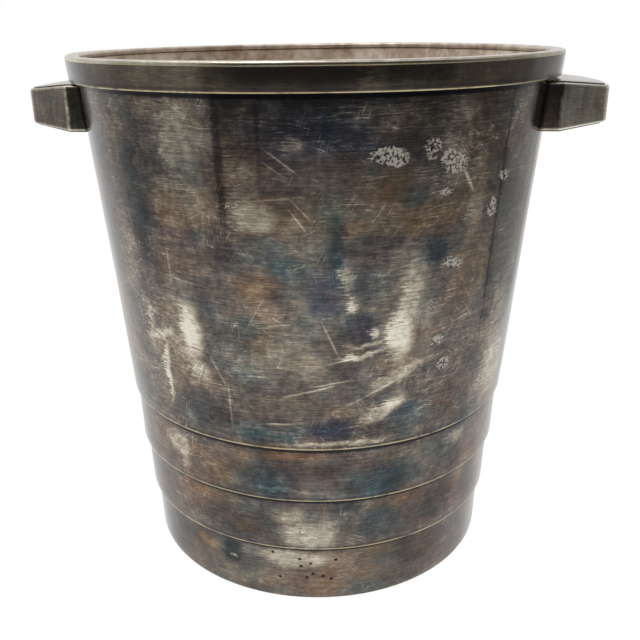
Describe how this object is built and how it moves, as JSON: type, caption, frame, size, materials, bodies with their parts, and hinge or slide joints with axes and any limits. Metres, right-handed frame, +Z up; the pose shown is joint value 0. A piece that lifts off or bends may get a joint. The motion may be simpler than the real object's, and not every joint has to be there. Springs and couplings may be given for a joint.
{
  "type": "champagne bucket",
  "caption": "Tapering round metal bucket with fine step lips near its base, a rounded applied rim and fixed block handles, for chilling a bottle in ice.",
  "frame": {"origin": "on the bucket's axis, at the level of its resting edge", "axes": "+Z up along the bucket's axis, +X towards the right handle, +Y across the handles"},
  "size_m": [0.2298, 0.1944, 0.21],
  "materials": {
    "body_silver": "tarnished silver plate, finely brushed round the wall, with purple-brown and blue-grey patches",
    "band_silver": "tarnished silver plate, olive-brown, with worn brass-yellow edges",
    "rim_wire_silver": "worn bright silver plate with yellow brass showing through",
    "step_silver": "tarnished silver plate, finely brushed, with worn bright lower lips",
    "base_silver": "tarnished silver plate, scuffed and pitted round the resting edge",
    "floor_silver": "dull water-marked silver plate",
    "handle_silver": "dark tarnished silver plate with worn light edges",
    "cover_silver": "satin silver plate with dark solder seams"
  },
  "bodies": {
    "root": {"body_wall": "body_silver", "rim_band": "band_silver", "rim_wire": "rim_wire_silver", "step_ring_upper": "step_silver", "step_ring_lower": "step_silver", "base_ring": "base_silver", "floor_disc": "floor_silver", "handle_right_wall": "handle_silver", "handle_right_top_plate": "cover_silver", "handle_right_bottom_plate": "cover_silver", "handle_left_wall": "handle_silver", "handle_left_top_plate": "cover_silver", "handle_left_bottom_plate": "cover_silver"}
  },
  "joints": []
}
